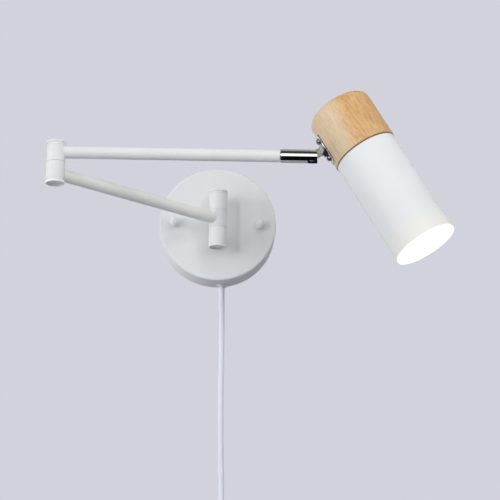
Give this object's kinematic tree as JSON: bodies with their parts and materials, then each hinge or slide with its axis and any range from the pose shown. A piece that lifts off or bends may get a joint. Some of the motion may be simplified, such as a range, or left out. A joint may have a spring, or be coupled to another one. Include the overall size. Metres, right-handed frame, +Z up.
{
  "type": "swing arm wall sconce",
  "caption": "White plug-in wall lamp: round canopy, folding tube arm with pivots at wall and elbow, and a tilting spot head of turned wood and a straight steel shade.",
  "frame": {"origin": "centre of the canopy's back, on the wall", "axes": "+X to the viewer's right along the wall, +Y into the wall, +Z up; the arm stands out towards -Y"},
  "size_m": [0.3896, 0.2303, 0.6083],
  "materials": {
    "white_paint": "smooth satin powder coat",
    "chrome": "polished chrome plate",
    "wood": "clear satin lacquer on pale wood",
    "steel": "plain zinc plate",
    "brass": "plain turned brass",
    "white_plastic": "moulded, half gloss",
    "cord_white": "smooth white cord jacket",
    "nylon": "natural nylon",
    "porcelain": "white glazed lamp holder",
    "frosted_glass": "frosted inside",
    "tie_fabric": "woven hook and loop tape"
  },
  "bodies": {
    "wall_base": {"canopy_cover": "white_paint", "mounting_strap": "steel", "strap_studs": "steel", "stud_lock_nuts": "steel", "cap_nuts": "white_paint", "post_stems": "white_paint", "stem_nipples": "steel", "nipple_nuts": "steel", "post_upper_barrel": "white_paint", "post_lower_barrel": "white_paint", "post_end_caps": "white_paint", "wall_pivot_bolt": "steel", "wall_spring_washer": "steel", "wall_pivot_nut": "steel", "wall_friction_washers": "nylon", "terminal_block": "white_plastic", "terminal_screws": "brass", "earth_screw": "brass", "cord_bushing": "white_plastic", "inner_lead": "cord_white", "cord_hanging": "cord_white", "switch_base": "white_plastic", "switch_cover": "white_plastic", "switch_reliefs": "white_plastic", "cord_drop": "cord_white", "cord_coil": "cord_white", "coil_tie": "tie_fabric", "cord_tail": "cord_white", "plug_body": "white_plastic", "plug_blades": "brass"},
    "lower_arm": {"wall_knuckle": "white_paint", "lower_arm_tube": "white_paint", "lower_arm_lead": "cord_white", "elbow_lower_barrel": "white_paint", "elbow_bottom_cap": "white_paint", "elbow_bolt": "steel", "elbow_nut": "steel", "elbow_spring_washer": "steel", "elbow_friction_washer": "nylon"},
    "upper_arm": {"elbow_upper_barrel": "white_paint", "elbow_top_cap": "white_paint", "upper_arm_tube": "white_paint", "swivel_bushing": "nylon", "upper_arm_lead": "cord_white"},
    "swivel": {"chrome_sleeve": "chrome", "swivel_nipple": "steel", "swivel_lock_nut": "steel", "hinge_pin": "chrome"},
    "head": {"hinge_tongue": "chrome", "saddle_plate": "chrome", "plate_screws": "chrome", "wood_cap": "wood", "shade_tube": "white_paint", "lamp_holder": "porcelain", "holder_screws": "steel", "bulb_cap": "steel", "bulb_body": "white_plastic", "bulb_globe": "frosted_glass"},
    "rocker": {"switch_rocker": "white_plastic"}
  },
  "joints": [
    {"name": "wall_swing", "type": "hinge", "parent": "wall_base", "child": "lower_arm", "pos_m": [0, -0.045, 0], "axis": [0, 0, 1], "range_deg": [-35, 135]},
    {"name": "elbow_swing", "type": "hinge", "parent": "lower_arm", "child": "upper_arm", "pos_m": [-0.15934, -0.1787, 0], "axis": [0, 0, 1], "range_deg": [-283.2, 6.8]},
    {"name": "head_swivel", "type": "hinge", "parent": "upper_arm", "child": "swivel", "pos_m": [0.05556, -0.18545, 0.0215], "axis": [0.9995, -0.0314, 0], "range_deg": [-143.9, 156.1]},
    {"name": "head_tilt", "type": "hinge", "parent": "swivel", "child": "head", "pos_m": [0.08594, -0.18641, 0.0215], "axis": [0.0312, 0.9938, -0.1063], "range_deg": [-54.4, 115.6]},
    {"name": "switch_rock", "type": "hinge", "parent": "wall_base", "child": "rocker", "pos_m": [0.01, -0.0172, -0.344], "axis": [1, 0, 0], "range_deg": [-7, 7]}
  ]
}
